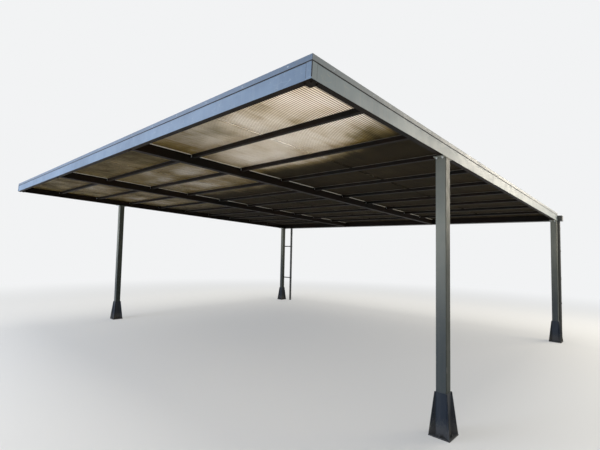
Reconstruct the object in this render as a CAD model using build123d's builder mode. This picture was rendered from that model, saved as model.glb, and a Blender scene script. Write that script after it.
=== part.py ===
from build123d import *
import os
from math import atan, cos, sin, sqrt

# A free-standing carport for two or three cars: a flat roof that falls gently to a
# gutter at the back, on four square posts. All sizes are in millimetres.
# X runs across the front from left to right, Y from the front to the gutter, Z up.
# The origin is on the floor, under the middle of the whole carport.

# Overall form
roof_width = 7600
roof_length = 7200
front_height = 2660
roof_slope = 0.05
bays_across = 3
bays_along = 10
front_overhang = 1950

# Edge channels, which form the frame and the fascia of the roof; the rear one is
# lower, so that the sheets pass over it
channel_depth = 148
channel_flange = 50
channel_wall = 4
corner_plate_length = 95
corner_plate_wall = 4
corner_cover_leg = 45
corner_cover_wall = 1.5
corner_cover_drop = 8

# Inner beams, which run down the slope
beam_width = 80
beam_depth = 100
beam_wall = 4
beam_corner = 6

# Purlins, which run across the slope, and the cleats that hold them
purlin_width = 40
purlin_depth = 40
purlin_wall = 3
cleat_reach = 50
cleat_wall = 4
cleat_edge = 5

# Roof sheets, with a rib for every cell of the sheet
sheet_level = 110
sheet_thickness = 10
rib_pitch = 24
rib_groove_width = 6
rib_groove_depth = 1.2
sheet_joint_gap = 8
sheet_rear_overhang = 40
sheet_side_gap = 2

# Profiles that carry, join and close the sheets
bearing_strip_overhang = 10
tape_width = 30
bar_cap_width = 60
bar_cap_thickness = 4
joiner_width = 44
joiner_wall = 2
closure_wall = 1.5
closure_lap = 25

# Flashing that covers the edges of the sheets and the top of the fascia
flashing_wall = 2
flashing_front_leg = 36
flashing_top_leg = 60

# Posts
post_width = 100
post_wall = 4
post_corner = 8
head_plate_wall = 8
head_plate_length = 200

# Feet of the posts
base_plate_width = 200
base_plate_thickness = 10
foot_height = 390
sleeve_wall = 4
sleeve_corner = 6
fin_wall = 8
fin_weld_depth = 3
fin_top_reach = 4
fin_edge = 4
fin_toe = 10
anchor_hole = 14
anchor_circle_diameter = 156

# Rear gutter and downpipes
gutter_depth = 120
gutter_height = 104
gutter_wall = 3
gutter_lip = 14
gutter_side_reach = 75
gutter_bracket_width = 30
gutter_bracket_wall = 4
pipe_diameter = 65
pipe_wall = 3
outlet_clearance = 3
outlet_length = 40
clip_heights = (700, 1700)
clip_height = 30
clip_wall = 4
clip_bar_reach = 25
left_pipe_inset = 300
right_pipe_inset = 0

# Sizes that follow from those above
pitch = atan(roof_slope)
half_width = roof_width / 2
top_void = channel_wall + beam_depth
strip_thickness = sheet_level - top_void
outline_depth = roof_length + gutter_depth - corner_cover_wall
front_edge_y = -(outline_depth * cos(pitch) + gutter_height * sin(pitch)) / 2
bay_width = roof_width / bays_across
purlin_spacing = roof_length / bays_along
rear_post_overhang = post_width / 2
post_places = {
    "front_left": (-1, front_overhang),
    "front_right": (1, front_overhang),
    "rear_left": (-1, roof_length - rear_post_overhang),
    "rear_right": (1, roof_length - rear_post_overhang),
}

# The roof's own plane: its origin is the lower front edge of the fascia, its x axis
# runs across, its y axis down the slope and its z axis square to the sheets.
roof = Plane(
    origin=(0, front_edge_y, front_height),
    x_dir=(1, 0, 0),
    z_dir=(0, sin(pitch), cos(pitch)),
)


def roof_point(x, down, up):
    """Gives the place of a point of the roof, from its own three directions."""
    return roof.from_local_coords(Vector(x, down, up))


def roof_section(down):
    """Gives the plane across the roof at a distance down the slope: x across, y up."""
    return Plane(origin=roof_point(0, down, 0), x_dir=(1, 0, 0), z_dir=-roof.y_dir)


def side_section(x):
    """Gives the plane along the slope at one x: its x axis down the slope, y up."""
    return Plane(origin=roof_point(x, 0, 0), x_dir=roof.y_dir, z_dir=(1, 0, 0))


os.makedirs("parts", exist_ok=True)


def save(part, name):
    """Labels a finished piece and writes its file."""
    part.label = name
    export_step(part, f"parts/{name}.step")


# Edge channels, mitred at the corners, open towards the middle of the roof


def channel_plane(side):
    """Gives a plane on a lower edge of the roof, with its y axis pointing inwards."""
    if side == "front":
        return Plane(origin=roof_point(-half_width, 0, 0), x_dir=(1, 0, 0), z_dir=roof.z_dir)
    if side == "rear":
        return Plane(origin=roof_point(half_width, roof_length, 0), x_dir=(-1, 0, 0), z_dir=roof.z_dir)
    if side == "left":
        return Plane(origin=roof_point(-half_width, roof_length, 0), x_dir=-roof.y_dir, z_dir=roof.z_dir)
    return Plane(origin=roof_point(half_width, 0, 0), x_dir=roof.y_dir, z_dir=roof.z_dir)


def edge_channel(side, length):
    """Makes one edge channel with its mitred ends; the side ones carry purlin cleats."""
    plane = channel_plane(side)
    depth = sheet_level if side == "rear" else channel_depth
    with BuildPart() as channel:
        with BuildSketch(plane):
            with BuildLine():
                Polyline(
                    (0, 0),
                    (length, 0),
                    (length - channel_flange, channel_flange),
                    (channel_flange, channel_flange),
                    close=True,
                )
            make_face()
        extrude(amount=depth)
        with BuildSketch(plane.offset(channel_wall)):
            with Locations((length / 2, channel_wall)):
                Rectangle(length, channel_flange, align=(Align.CENTER, Align.MIN))
        extrude(amount=depth - 2 * channel_wall, mode=Mode.SUBTRACT)
        if side in ("left", "right"):
            for row in range(1, bays_along):
                along = row * purlin_spacing
                if side == "left":
                    along = length - along + purlin_width / 2
                else:
                    along = along - purlin_width / 2 - cleat_wall
                with BuildSketch(plane.offset(top_void - purlin_depth + cleat_edge)):
                    with Locations((along, channel_wall)):
                        Rectangle(cleat_wall, cleat_reach, align=(Align.MIN, Align.MIN))
                extrude(amount=purlin_depth - 2 * cleat_edge)
    save(channel.part, f"{side}_edge_beam")


edge_channel("front", roof_width)
edge_channel("rear", roof_width)
edge_channel("left", roof_length)
edge_channel("right", roof_length)

with BuildPart() as corner_plates:
    with BuildSketch(roof.offset(channel_wall)):
        for x in (-1, 1):
            for down in (channel_wall, roof_length - channel_wall):
                with Locations((x * (half_width - channel_wall), down)):
                    Rectangle(
                        corner_plate_length,
                        corner_plate_length,
                        align=(
                            Align.MAX if x > 0 else Align.MIN,
                            Align.MIN if down < roof_length / 2 else Align.MAX,
                        ),
                    )
    extrude(amount=corner_plate_wall)
save(corner_plates.part, "corner_plates")


# Inner beams: rectangular tubes that rest on the flanges of the front and rear channels


def inner_beam(side, x):
    """Makes one inner beam and, as a piece of its own, the purlin cleats on its sides."""
    with BuildPart() as beam:
        with BuildSketch(roof_section(channel_wall)):
            with Locations((x, channel_wall + beam_depth / 2)):
                RectangleRounded(beam_width, beam_depth, beam_corner)
                RectangleRounded(
                    beam_width - 2 * beam_wall,
                    beam_depth - 2 * beam_wall,
                    beam_corner - beam_wall,
                    mode=Mode.SUBTRACT,
                )
        extrude(amount=-(roof_length - 2 * channel_wall))
    save(beam.part, f"{side}_inner_beam")
    with BuildPart() as cleats:
        for row in range(1, bays_along):
            with BuildSketch(roof_section(row * purlin_spacing - purlin_width / 2 - cleat_wall)):
                for hand in (-1, 1):
                    with Locations((x + hand * (beam_width + cleat_reach) / 2, top_void - purlin_depth / 2)):
                        Rectangle(cleat_reach, purlin_depth - 2 * cleat_edge)
            extrude(amount=-cleat_wall)
    save(cleats.part, f"{side}_beam_cleats")


beam_places = [roof_width / bays_across * number - half_width for number in range(1, bays_across)]
inner_beam("left", beam_places[0])
inner_beam("right", beam_places[-1])


# Purlins: nine in each bay, flush with the tops of the beams

bay_edges = [-half_width + channel_wall]
for place in beam_places:
    bay_edges.append(place - beam_width / 2)
    bay_edges.append(place + beam_width / 2)
bay_edges.append(half_width - channel_wall)
bay_names = ["left", "middle", "right"]


def purlins(bay):
    """Makes the purlins of one bay as square-cut tubes between the beams."""
    start = bay_edges[2 * bay]
    end = bay_edges[2 * bay + 1]
    with BuildPart() as tubes:
        with BuildSketch(side_section(start)):
            for row in range(1, bays_along):
                with Locations((row * purlin_spacing, top_void - purlin_depth / 2)):
                    Rectangle(purlin_width, purlin_depth)
                    Rectangle(
                        purlin_width - 2 * purlin_wall,
                        purlin_depth - 2 * purlin_wall,
                        mode=Mode.SUBTRACT,
                    )
        extrude(amount=end - start)
    save(tubes.part, f"{bay_names[bay]}_bay_purlins")


for bay in range(bays_across):
    purlins(bay)


# Bearing strips on the inner beams, and tape on the purlins, level with the channels

with BuildPart() as bearing_strips:
    with BuildSketch(roof.offset(top_void)):
        with Locations((0, roof_length / 2)):
            for place in beam_places:
                with Locations((place, 0)):
                    Rectangle(beam_width + 2 * bearing_strip_overhang, roof_length - 2 * channel_flange)
    extrude(amount=strip_thickness)
save(bearing_strips.part, "bearing_strips")

sheet_seams = []
for bay in range(bays_across):
    sheet_seams.append(-half_width + bay_width * (bay + 0.5))

with BuildPart() as sealing_tapes:
    with BuildSketch(roof.offset(top_void)):
        for row in range(1, bays_along):
            for bay in range(bays_across):
                left_rest = bearing_strip_overhang if bay > 0 else channel_flange
                right_rest = bearing_strip_overhang if bay < bays_across - 1 else channel_flange
                left = bay_edges[2 * bay] + left_rest
                right = bay_edges[2 * bay + 1] - right_rest
                seam = sheet_seams[bay]
                for start, end in ((left, seam - joiner_width / 2), (seam + joiner_width / 2, right)):
                    with Locations(((start + end) / 2, row * purlin_spacing)):
                        Rectangle(end - start, tape_width)
    extrude(amount=strip_thickness)
save(sealing_tapes.part, "sealing_tapes")


# Roof sheets: two in each bay, ribbed along the slope

sheet_edges = [-half_width + channel_wall + sheet_side_gap]
for bay in range(bays_across):
    sheet_edges.append(sheet_seams[bay] - sheet_joint_gap / 2)
    sheet_edges.append(sheet_seams[bay] + sheet_joint_gap / 2)
    if bay < bays_across - 1:
        sheet_edges.append(beam_places[bay] - sheet_joint_gap / 2)
        sheet_edges.append(beam_places[bay] + sheet_joint_gap / 2)
sheet_edges.append(half_width - channel_wall - sheet_side_gap)
sheet_start = channel_wall
sheet_length = roof_length - sheet_start + sheet_rear_overhang


def roof_sheet(number):
    """Makes one sheet, with a shallow groove on its underside between each two ribs."""
    left = sheet_edges[2 * number]
    right = sheet_edges[2 * number + 1]
    ribs = int((right - left) / rib_pitch)
    margin = ((right - left) - (ribs - 1) * rib_pitch) / 2
    with BuildPart() as sheet:
        with BuildSketch(roof_section(sheet_start)):
            with BuildLine():
                points = [(left, sheet_level), (left, sheet_level + sheet_thickness)]
                points.append((right, sheet_level + sheet_thickness))
                points.append((right, sheet_level))
                for rib in reversed(range(ribs)):
                    middle = left + margin + rib * rib_pitch
                    points.append((middle + rib_groove_width / 2, sheet_level))
                    points.append((middle, sheet_level + rib_groove_depth))
                    points.append((middle - rib_groove_width / 2, sheet_level))
                Polyline(*points, close=True)
            make_face()
        extrude(amount=-sheet_length)
    save(sheet.part, f"roof_sheet_{number + 1}")


for number in range(2 * bays_across):
    roof_sheet(number)


# Glazing bars over the inner beams, and joiners in the middle of each bay

bar_start = sheet_start + flashing_top_leg
bar_length = sheet_length - flashing_top_leg - closure_lap

with BuildPart() as glazing_bars:
    with BuildSketch(roof_section(bar_start)):
        for place in beam_places:
            with Locations((place, sheet_level)):
                Rectangle(
                    sheet_joint_gap,
                    sheet_thickness,
                    align=(Align.CENTER, Align.MIN),
                )
            with Locations((place, sheet_level + sheet_thickness)):
                Rectangle(bar_cap_width, bar_cap_thickness, align=(Align.CENTER, Align.MIN))
    extrude(amount=-bar_length)
save(glazing_bars.part, "glazing_bars")

with BuildPart() as sheet_joiners:
    with BuildSketch(roof_section(bar_start)):
        for seam in sheet_seams:
            with Locations((seam, sheet_level + sheet_thickness / 2)):
                Rectangle(joiner_width, sheet_thickness + 2 * joiner_wall)
                Rectangle(joiner_width, sheet_thickness, mode=Mode.SUBTRACT)
                Rectangle(sheet_joint_gap, sheet_thickness)
    extrude(amount=-bar_length)
    # The lower flanges stop short of the rear edge channel
    with BuildSketch(roof_section(roof_length - channel_flange)):
        for seam in sheet_seams:
            with Locations((seam, sheet_level)):
                Rectangle(joiner_width, joiner_wall, align=(Align.CENTER, Align.MAX))
    extrude(amount=-(channel_flange + sheet_rear_overhang), mode=Mode.SUBTRACT)
save(sheet_joiners.part, "sheet_joiners")


# Closure: a channel that shuts the lower ends of the sheets, over the gutter

closure_length = sheet_edges[-1] - sheet_edges[0]
closure_end = sheet_start + sheet_length
with BuildPart() as rear_sheet_closure:
    with BuildSketch(side_section(sheet_edges[0])):
        with Locations((closure_end + closure_wall, sheet_level + sheet_thickness / 2)):
            Rectangle(
                closure_lap + closure_wall,
                sheet_thickness + 2 * closure_wall,
                align=(Align.MAX, Align.CENTER),
            )
        with Locations((closure_end, sheet_level + sheet_thickness / 2)):
            Rectangle(closure_lap, sheet_thickness, align=(Align.MAX, Align.CENTER), mode=Mode.SUBTRACT)
    extrude(amount=closure_length)
save(rear_sheet_closure.part, "rear_sheet_closure")


# Flashing: folded over the fascia and down onto the sheets, mitred at the front corners

flashing_top = channel_depth + flashing_wall
flashing_foot = flashing_top - flashing_front_leg


def flashing(side, length):
    """Makes one run of flashing; its front ends are mitred and its rear ends are square."""
    plane = channel_plane(side)
    reach = flashing_top_leg
    outer = -flashing_wall
    start_cut = (outer, reach)
    end_cut = (length - outer, length - reach)
    if side == "left":
        start_cut = (closure_lap - sheet_rear_overhang, closure_lap - sheet_rear_overhang)
    if side == "right":
        end_cut = (length + sheet_rear_overhang - closure_lap, length + sheet_rear_overhang - closure_lap)
    with BuildPart() as cover:
        with BuildSketch(plane.offset(flashing_foot)):
            with BuildLine():
                Polyline(
                    (start_cut[0], outer),
                    (end_cut[0], outer),
                    (end_cut[1], reach),
                    (start_cut[1], reach),
                    close=True,
                )
            make_face()
        extrude(amount=flashing_front_leg)
        # The space under the cover, which the fascia and the sheets fill
        with BuildSketch(plane.offset(flashing_foot)):
            with Locations((length / 2, 0)):
                Rectangle(2 * length, reach - flashing_wall, align=(Align.CENTER, Align.MIN))
        extrude(amount=flashing_front_leg - flashing_wall, mode=Mode.SUBTRACT)
        with BuildSketch(plane.offset(flashing_foot)):
            with Locations((length / 2, 0)):
                Rectangle(2 * length, 2 * reach, align=(Align.CENTER, Align.MIN))
        extrude(amount=sheet_level + sheet_thickness - flashing_foot, mode=Mode.SUBTRACT)
    save(cover.part, f"{side}_flashing")


flashing("front", roof_width)
flashing("left", roof_length)
flashing("right", roof_length)


# Covers folded round the two front corners of the fascia, a little below the flashing

cover_height = flashing_foot - corner_cover_drop
with BuildPart() as corner_covers:
    with BuildSketch(roof):
        for hand in (-1, 1):
            inside = hand * half_width
            outside = hand * (half_width + corner_cover_wall)
            inner_end = hand * (half_width - corner_cover_leg)
            with BuildLine():
                Polyline(
                    (outside, -corner_cover_wall),
                    (inner_end, -corner_cover_wall),
                    (inner_end, 0),
                    (inside, 0),
                    (inside, corner_cover_leg),
                    (outside, corner_cover_leg),
                    close=True,
                )
            make_face()
    extrude(amount=cover_height)
save(corner_covers.part, "corner_covers")


# Posts: square tubes with a head plate that lies against the edge beam


def post(name, hand, down):
    """Makes one post from its base plate up to its welded head plate."""
    x = hand * (half_width - post_width / 2)
    y = roof_point(0, down, -head_plate_wall).Y
    with BuildPart() as tube:
        with BuildSketch(Plane.XY.offset(base_plate_thickness)):
            with Locations((x, y)):
                RectangleRounded(post_width, post_width, post_corner)
                RectangleRounded(
                    post_width - 2 * post_wall,
                    post_width - 2 * post_wall,
                    post_corner - post_wall,
                    mode=Mode.SUBTRACT,
                )
        extrude(amount=front_height)
        split(bisect_by=roof.offset(-head_plate_wall), keep=Keep.BOTTOM)
        with BuildSketch(roof.offset(-head_plate_wall)):
            with Locations((x, head_centre(down))):
                Rectangle(post_width, head_plate_length)
        extrude(amount=head_plate_wall)
    save(tube.part, f"{name}_post")


def head_centre(down):
    """Gives the middle of a head plate down the slope, kept inside the roof's end."""
    return min(down, roof_length - head_plate_length / 2)


def foot(name, hand, down):
    """Makes the foot of one post: a base plate, a square sleeve and four corner fins."""
    x = hand * (half_width - post_width / 2)
    y = roof_point(0, down, -head_plate_wall).Y
    sleeve = post_width + 2 * sleeve_wall
    sleeve_reach = (sleeve / 2) * sqrt(2) - (sleeve_corner + sleeve_wall) * (sqrt(2) - 1)
    fin_start = sleeve_reach - fin_weld_depth
    with BuildPart() as shoe:
        with BuildSketch():
            with Locations((x, y)):
                Rectangle(base_plate_width, base_plate_width)
                with PolarLocations(anchor_circle_diameter / 2, 4):
                    Circle(anchor_hole / 2, mode=Mode.SUBTRACT)
        extrude(amount=base_plate_thickness)
        with BuildSketch(Plane.XY.offset(base_plate_thickness)):
            with Locations((x, y)):
                RectangleRounded(sleeve, sleeve, sleeve_corner + sleeve_wall)
                RectangleRounded(post_width, post_width, sleeve_corner, mode=Mode.SUBTRACT)
        extrude(amount=foot_height - base_plate_thickness)
        # Fins that run out from the corners of the sleeve, wide at the bottom
        for turn in (45, 135, 225, 315):
            out = Vector(1, 0, 0).rotate(Axis.Z, turn)
            with BuildSketch(Plane(origin=(x, y, 0), x_dir=out, z_dir=out.cross(Vector(0, 0, 1)))):
                with BuildLine():
                    Polyline(
                        (fin_start, base_plate_thickness),
                        ((base_plate_width / 2 - fin_edge) * sqrt(2), base_plate_thickness),
                        ((base_plate_width / 2 - fin_edge) * sqrt(2), base_plate_thickness + fin_toe),
                        ((sleeve / 2 + fin_top_reach) * sqrt(2), foot_height),
                        (fin_start, foot_height),
                        close=True,
                    )
                make_face()
            extrude(amount=fin_wall / 2, both=True)
    save(shoe.part, f"{name}_foot")


for name, (hand, down) in post_places.items():
    post(name, hand, down)
    foot(name, hand, down)


# Gutter: a trough welded from plates along the rear edge beam, closed at both ends

gutter_length = roof_width + 2 * gutter_side_reach
plate_length = gutter_length - 2 * gutter_wall
pipe_radius = pipe_diameter / 2
pipe_down = roof_length + gutter_depth - gutter_wall - pipe_radius
pipe_places = {"left": -half_width + left_pipe_inset, "right": half_width - right_pipe_inset}
outlet_radius = pipe_radius - pipe_wall - outlet_clearance


def gutter_plate(name, points):
    """Makes one long plate of the gutter from its section: down the slope, and up."""
    with BuildPart() as plate:
        with BuildSketch(side_section(-plate_length / 2)):
            with BuildLine():
                Polyline(*points, close=True)
            make_face()
        extrude(amount=plate_length)
        if name == "gutter_floor":
            with BuildSketch(roof):
                for place in pipe_places.values():
                    with Locations((place, pipe_down)):
                        Circle(outlet_radius - gutter_wall)
            extrude(amount=gutter_wall, mode=Mode.SUBTRACT)
    save(plate.part, name)


trough_start = roof_length + gutter_wall
trough_end = roof_length + gutter_depth - gutter_wall
gutter_plate(
    "gutter_back",
    [
        (roof_length, 0),
        (trough_start, 0),
        (trough_start, gutter_height),
        (roof_length, gutter_height),
    ],
)
gutter_plate(
    "gutter_floor",
    [
        (trough_start, 0),
        (trough_end, 0),
        (trough_end, gutter_wall),
        (trough_start, gutter_wall),
    ],
)
gutter_plate(
    "gutter_front",
    [
        (trough_end, 0),
        (trough_end + gutter_wall, 0),
        (trough_end + gutter_wall, gutter_height),
        (trough_end - gutter_lip, gutter_height),
        (trough_end - gutter_lip, gutter_height - gutter_wall),
        (trough_end, gutter_height - gutter_wall),
    ],
)

with BuildPart() as gutter_ends:
    for start in (-gutter_length / 2, gutter_length / 2 - gutter_wall):
        with BuildSketch(side_section(start)):
            with Locations((roof_length, 0)):
                Rectangle(gutter_depth, gutter_height, align=(Align.MIN, Align.MIN))
        extrude(amount=gutter_wall)
save(gutter_ends.part, "gutter_ends")

with BuildPart() as gutter_outlets:
    with BuildSketch(roof):
        for place in pipe_places.values():
            with Locations((place, pipe_down)):
                Circle(outlet_radius)
                Circle(outlet_radius - gutter_wall, mode=Mode.SUBTRACT)
    extrude(amount=-outlet_length)
save(gutter_outlets.part, "gutter_outlets")

bracket_places = [bay_width * number - half_width for number in range(bays_across + 1)]
with BuildPart() as gutter_brackets:
    for place in bracket_places:
        inward = max(min(place, half_width - gutter_bracket_width), -half_width + gutter_bracket_width)
        with BuildSketch(side_section(inward - gutter_bracket_width / 2)):
            with Locations((roof_length, gutter_height)):
                Rectangle(gutter_depth, gutter_bracket_wall, align=(Align.MIN, Align.MIN))
        extrude(amount=gutter_bracket_width)
save(gutter_brackets.part, "gutter_brackets")


def downpipe(side):
    """Makes one downpipe, from the outlet of the gutter down to the floor."""
    outlet = roof_point(pipe_places[side], pipe_down, 0)
    with BuildPart() as pipe:
        with BuildSketch():
            with Locations((outlet.X, outlet.Y)):
                Circle(pipe_radius)
                Circle(pipe_radius - pipe_wall, mode=Mode.SUBTRACT)
        extrude(amount=front_height)
        split(bisect_by=roof, keep=Keep.BOTTOM)
    save(pipe.part, f"{side}_downpipe")


downpipe("left")
downpipe("right")


# Clips that hold the downpipes to the rear faces of the posts

with BuildPart() as pipe_clips:
    for hand, side in ((-1, "left"), (1, "right")):
        pipe = roof_point(pipe_places[side], pipe_down, 0)
        post_x = hand * (half_width - post_width / 2)
        post_back = roof_point(0, roof_length - post_width / 2, -head_plate_wall).Y + post_width / 2
        bar_start = min(post_x, pipe.X) - clip_bar_reach
        bar_end = max(post_x, pipe.X) + clip_bar_reach
        if hand > 0:
            bar_end = post_x + post_width / 2
        for height in clip_heights:
            with BuildSketch(Plane.XY.offset(height)):
                with Locations(((bar_start + bar_end) / 2, post_back)):
                    Rectangle(bar_end - bar_start, clip_wall, align=(Align.CENTER, Align.MIN))
                with Locations((min(pipe.X, bar_end - clip_wall), post_back)):
                    Rectangle(clip_wall, pipe.Y - post_back, align=(Align.CENTER, Align.MIN))
                with Locations((pipe.X, pipe.Y)):
                    Circle(pipe_radius + clip_wall)
                    Circle(pipe_radius, mode=Mode.SUBTRACT)
            extrude(amount=clip_height)
save(pipe_clips.part, "pipe_clips")
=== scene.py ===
"""A free-standing carport with a translucent roof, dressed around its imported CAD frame.

Sizes are metres, unless a name or a docstring says otherwise.
"""

import logging
import math
from collections.abc import Callable, Mapping, Sequence
from dataclasses import dataclass
from enum import Enum
from functools import partial
from itertools import product

import bpy
from bpy.types import Material, Mesh, Node, NodeSocket, NodeTree, Object
from mathutils import Matrix, Vector

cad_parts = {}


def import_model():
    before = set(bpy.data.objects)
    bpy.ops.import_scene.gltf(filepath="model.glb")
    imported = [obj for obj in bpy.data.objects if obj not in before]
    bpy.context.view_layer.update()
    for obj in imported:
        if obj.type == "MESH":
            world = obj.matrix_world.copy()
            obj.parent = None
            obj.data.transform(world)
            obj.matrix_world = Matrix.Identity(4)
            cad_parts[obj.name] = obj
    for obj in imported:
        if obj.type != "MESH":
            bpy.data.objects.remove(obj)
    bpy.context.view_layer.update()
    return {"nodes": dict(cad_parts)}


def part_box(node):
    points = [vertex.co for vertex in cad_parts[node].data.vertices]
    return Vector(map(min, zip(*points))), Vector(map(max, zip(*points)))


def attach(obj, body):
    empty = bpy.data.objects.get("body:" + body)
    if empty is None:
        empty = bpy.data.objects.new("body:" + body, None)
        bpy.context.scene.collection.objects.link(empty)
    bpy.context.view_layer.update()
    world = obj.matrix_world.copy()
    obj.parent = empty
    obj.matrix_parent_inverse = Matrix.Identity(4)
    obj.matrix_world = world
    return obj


logging.basicConfig(level=logging.INFO, format="%(message)s")
log = logging.getLogger("carport")

BODY = "root"
MM = 0.001
HANDS = (-1, 1)
UP = Vector((0, 0, 1))
POLYCARBONATE_IOR = 1.585
# A face is on the outer side of a node if it faces outwards this squarely, and lies this close to it
SQUARE_ENOUGH = 0.9
CLOSE_ENOUGH = 2 * MM

NodeAdder = Callable[..., Node]
Colour = tuple[float, float, float, float]
# A point with the direction that something faces there, or the two ends of a weld
Place = tuple[Vector, Vector]


class Slot(Enum):
    """The record's material slots, which the grown pieces carry and nothing here reads."""

    POST = "post_paint"
    FOOT = "foot_paint"
    FRAME = "frame_paint"
    FLASHING = "flashing_paint"
    GUTTER = "gutter_paint"
    ALUMINIUM = "bronze_aluminium"


# Small tools


def colour(code: str) -> Colour:
    """Turns a colour as it is seen into the linear values that a shader takes.

    Args:
        code: The colour as sRGB hex, such as #8a97a5.

    Returns:
        Linear red, green, blue and an alpha of 1.
    """
    parts = [int(code[start : start + 2], 16) / 255 for start in (1, 3, 5)]
    linear = [part / 12.92 if part <= 0.04045 else ((part + 0.055) / 1.055) ** 2.4 for part in parts]
    return (linear[0], linear[1], linear[2], 1.0)


def add_node(tree: NodeTree, kind: str, *inputs: object, **named: object) -> Node:
    """Adds a node with its settings, and links or sets its inputs.

    Args:
        tree: The tree that takes the node.
        kind: Blender's name of the node's type, where a shader node's goes without its ShaderNode.
        *inputs: A socket, a node or a value for each of the first inputs that the settings leave
            in use. A noise has its place, scale, detail and roughness, a Map Range the value, the
            range that it comes from and the one that it goes to, and a Mix its share and the two.
        **named: The node's own properties in small letters, and inputs by name, with a capital
            first and a _ for each space.

    Returns:
        The new node.
    """
    node = tree.nodes.new(kind if "Node" in kind else f"ShaderNode{kind}")
    for name in [name for name in named if name[0].islower()]:
        setattr(node, name, named.pop(name))
    sockets = [socket for socket in node.inputs if socket.enabled][: len(inputs)]
    sockets += [node.inputs[name.replace("_", " ")] for name in named]
    for socket, value in zip(sockets, (*inputs, *named.values()), strict=True):
        if isinstance(value, Node):
            value = next(output for output in value.outputs if output.enabled)
        if isinstance(value, NodeSocket):
            tree.links.new(value, socket)
        else:
            socket.default_value = value
    return node


def new_material(name: str) -> tuple[Material, NodeAdder]:
    """Starts a material with an empty tree.

    Args:
        name: The material's name.

    Returns:
        The material, and what adds a node to its tree.
    """
    material = bpy.data.materials.new(name)
    material.use_nodes = True
    material.node_tree.nodes.clear()
    return material, partial(add_node, material.node_tree)


def add_piece(name: str, mesh: Mesh) -> Object:
    """Puts a mesh into the scene, with its place in its vertices.

    Args:
        name: The piece's name.
        mesh: The mesh.

    Returns:
        The new object.
    """
    piece = bpy.data.objects.new(name, mesh)
    bpy.context.scene.collection.objects.link(piece)
    return piece


def mesh_piece(
    name: str, points: Sequence[Sequence[float]], faces: Sequence[Sequence[int]], paint: Material
) -> Object:
    """Makes a piece from points and faces.

    Args:
        name: The piece's name.
        points: The vertices.
        faces: The faces, each a list of vertex numbers.
        paint: The finish.

    Returns:
        The new object, linked to the scene.
    """
    mesh = bpy.data.meshes.new(name)
    mesh.from_pydata([tuple(point) for point in points], [], faces)
    mesh.update()
    mesh.materials.append(paint)
    return add_piece(name, mesh)


def skinned_piece(
    name: str, runs: Sequence[Sequence[Sequence[Vector]]], paint: Material, looped: bool = False
) -> Object:
    """Makes a piece from runs of rings, each run skinned from ring to ring.

    Args:
        name: The piece's name.
        runs: The runs, each of rings with as many points, which turn left seen from the run's end.
        paint: The finish.
        looped: Whether each run's last ring joins its first, so that it has no end faces.

    Returns:
        The new object, linked to the scene.
    """
    points: list[Vector] = []
    faces: list[tuple[int, ...]] = []
    for rings in runs:
        start, count, sides = len(points), len(rings), len(rings[0])
        points += [point for ring in rings for point in ring]
        for ring, step in product(range(count if looped else count - 1), range(sides)):
            corners = ((ring, step), (ring, step + 1), (ring + 1, step + 1), (ring + 1, step))
            faces.append(tuple(start + row % count * sides + turn % sides for row, turn in corners))
        if not looped:
            numbers = range(start, len(points))
            faces += [tuple(reversed(numbers[:sides])), tuple(numbers[-sides:])]
    return mesh_piece(name, points, faces, paint)


def keep(piece: Object) -> None:
    """Ties a finished piece to the carport's body, and logs its face count.

    Args:
        piece: The finished piece.
    """
    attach(piece, BODY)
    log.info("%s: %d faces", piece.name, len(piece.data.polygons))


def round_the_post(quarter: float) -> tuple[Vector, Vector]:
    """Gives a direction out from a post, and the one beside it.

    Args:
        quarter: The turn from the x axis, in quarters.

    Returns:
        The direction outwards and the level direction square to it.
    """
    angle = quarter * math.pi / 2
    out = Vector((math.cos(angle), math.sin(angle), 0))
    return out, Vector((-out.y, out.x, 0))


@dataclass(frozen=True)
class Roof:
    """The roof's own plane: x across, down the slope and up square to the sheets."""

    front_y: float
    half_width: float
    front_z: float = 2.66
    slope: float = 0.05
    length: float = 7.2

    @property
    def across(self) -> Vector:
        """The direction across the roof."""
        return Vector((1, 0, 0))

    @property
    def downhill(self) -> Vector:
        """The direction down the slope."""
        return Vector((0, 1, -self.slope)).normalized()

    @property
    def upright(self) -> Vector:
        """The direction square to the sheets."""
        return Vector((0, self.slope, 1)).normalized()

    @property
    def beams(self) -> tuple[float, float]:
        """The middles of the two inner beams, which part the roof in three bays."""
        return (-self.half_width / 3, self.half_width / 3)

    def at(self, x: float, down: float, up: float) -> Vector:
        """Gives a point of the roof.

        Args:
            x: Metres across from the middle.
            down: Metres down the slope from the front edge.
            up: Metres up from the lower edge of the fascia.

        Returns:
            The point in the shared frame.
        """
        start = Vector((x, self.front_y, self.front_z))
        return start + self.downhill * down + self.upright * up


# Finishes


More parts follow.
